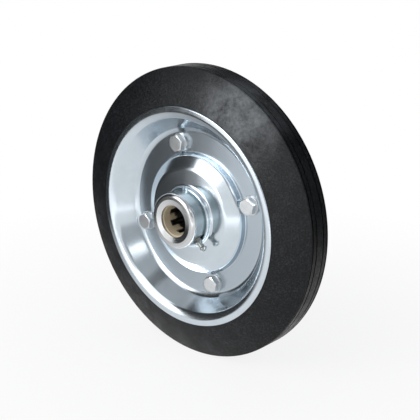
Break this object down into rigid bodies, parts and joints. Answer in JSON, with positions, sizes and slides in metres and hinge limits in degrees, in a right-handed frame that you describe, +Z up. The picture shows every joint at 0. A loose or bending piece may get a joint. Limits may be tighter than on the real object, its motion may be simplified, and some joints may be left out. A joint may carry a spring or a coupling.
{
  "type": "solid rubber trolley wheel",
  "caption": "Narrow solid rubber tyre clamped between bolted pressed steel discs, with a capped roller bearing hub and a grease nipple.",
  "frame": {"origin": "wheel centre: on the axle's axis, on the middle plane between the two rim discs", "axes": "+Y along the axle, away from the side shown in the picture, +Z up"},
  "size_m": [0.25, 0.068, 0.25],
  "materials": {
    "tyre": "matt moulded rubber",
    "zinc_plated_steel": "bright blue zinc plating",
    "zinc_plated_fasteners": "zinc plating",
    "cage_nylon": "moulded nylon",
    "roller_steel": "ground steel"
  },
  "bodies": {
    "wheel": {"tyre": "tyre", "rim_disc_front": "zinc_plated_steel", "rim_disc_rear": "zinc_plated_steel", "hub_tube": "zinc_plated_steel", "hub_cap_front": "zinc_plated_steel", "hub_cap_rear": "zinc_plated_steel", "bolt_1": "zinc_plated_fasteners", "washer_1": "zinc_plated_fasteners", "spring_washer_1": "zinc_plated_fasteners", "nut_1": "zinc_plated_fasteners", "bolt_2": "zinc_plated_fasteners", "washer_2": "zinc_plated_fasteners", "spring_washer_2": "zinc_plated_fasteners", "nut_2": "zinc_plated_fasteners", "bolt_3": "zinc_plated_fasteners", "washer_3": "zinc_plated_fasteners", "spring_washer_3": "zinc_plated_fasteners", "nut_3": "zinc_plated_fasteners", "bolt_4": "zinc_plated_fasteners", "washer_4": "zinc_plated_fasteners", "spring_washer_4": "zinc_plated_fasteners", "nut_4": "zinc_plated_fasteners", "grease_nipple": "zinc_plated_fasteners", "nipple_spring": "roller_steel"},
    "cage": {"roller_cage": "cage_nylon"},
    "roller_1_body": {"roller_1": "roller_steel"},
    "roller_2_body": {"roller_2": "roller_steel"},
    "roller_3_body": {"roller_3": "roller_steel"},
    "roller_4_body": {"roller_4": "roller_steel"},
    "roller_5_body": {"roller_5": "roller_steel"},
    "roller_6_body": {"roller_6": "roller_steel"},
    "roller_7_body": {"roller_7": "roller_steel"},
    "roller_8_body": {"roller_8": "roller_steel"},
    "valve_ball": {"nipple_ball": "roller_steel"}
  },
  "joints": [
    {"name": "cage_spin", "type": "hinge", "parent": "wheel", "child": "cage", "pos_m": [0, 0, 0], "axis": [0, 1, 0], "continuous": true},
    {"name": "roller_1_spin", "type": "hinge", "parent": "cage", "child": "roller_1_body", "pos_m": [0.01351, 0, 0.0078], "axis": [0, 1, 0], "continuous": true},
    {"name": "roller_2_spin", "type": "hinge", "parent": "cage", "child": "roller_2_body", "pos_m": [0.00404, 0, 0.01507], "axis": [0, 1, 0], "continuous": true},
    {"name": "roller_3_spin", "type": "hinge", "parent": "cage", "child": "roller_3_body", "pos_m": [-0.0078, 0, 0.01351], "axis": [0, 1, 0], "continuous": true},
    {"name": "roller_4_spin", "type": "hinge", "parent": "cage", "child": "roller_4_body", "pos_m": [-0.01507, 0, 0.00404], "axis": [0, 1, 0], "continuous": true},
    {"name": "roller_5_spin", "type": "hinge", "parent": "cage", "child": "roller_5_body", "pos_m": [-0.01351, 0, -0.0078], "axis": [0, 1, 0], "continuous": true},
    {"name": "roller_6_spin", "type": "hinge", "parent": "cage", "child": "roller_6_body", "pos_m": [-0.00404, 0, -0.01507], "axis": [0, 1, 0], "continuous": true},
    {"name": "roller_7_spin", "type": "hinge", "parent": "cage", "child": "roller_7_body", "pos_m": [0.0078, 0, -0.01351], "axis": [0, 1, 0], "continuous": true},
    {"name": "roller_8_spin", "type": "hinge", "parent": "cage", "child": "roller_8_body", "pos_m": [0.01507, 0, -0.00404], "axis": [0, 1, 0], "continuous": true},
    {"name": "nipple_valve", "type": "slide", "parent": "wheel", "child": "valve_ball", "axis": [-0.7547, 0, 0.6561], "range_m": [0, 0.0004], "stiffness_N_per_m": 100, "springref_m": -0.0005}
  ],
  "couplings": [
    {"joint": "roller_1_spin", "follows": "cage_spin", "ratio": -6.2333},
    {"joint": "roller_2_spin", "follows": "cage_spin", "ratio": -6.2333},
    {"joint": "roller_3_spin", "follows": "cage_spin", "ratio": -6.2333},
    {"joint": "roller_4_spin", "follows": "cage_spin", "ratio": -6.2333},
    {"joint": "roller_5_spin", "follows": "cage_spin", "ratio": -6.2333},
    {"joint": "roller_6_spin", "follows": "cage_spin", "ratio": -6.2333},
    {"joint": "roller_7_spin", "follows": "cage_spin", "ratio": -6.2333},
    {"joint": "roller_8_spin", "follows": "cage_spin", "ratio": -6.2333}
  ]
}
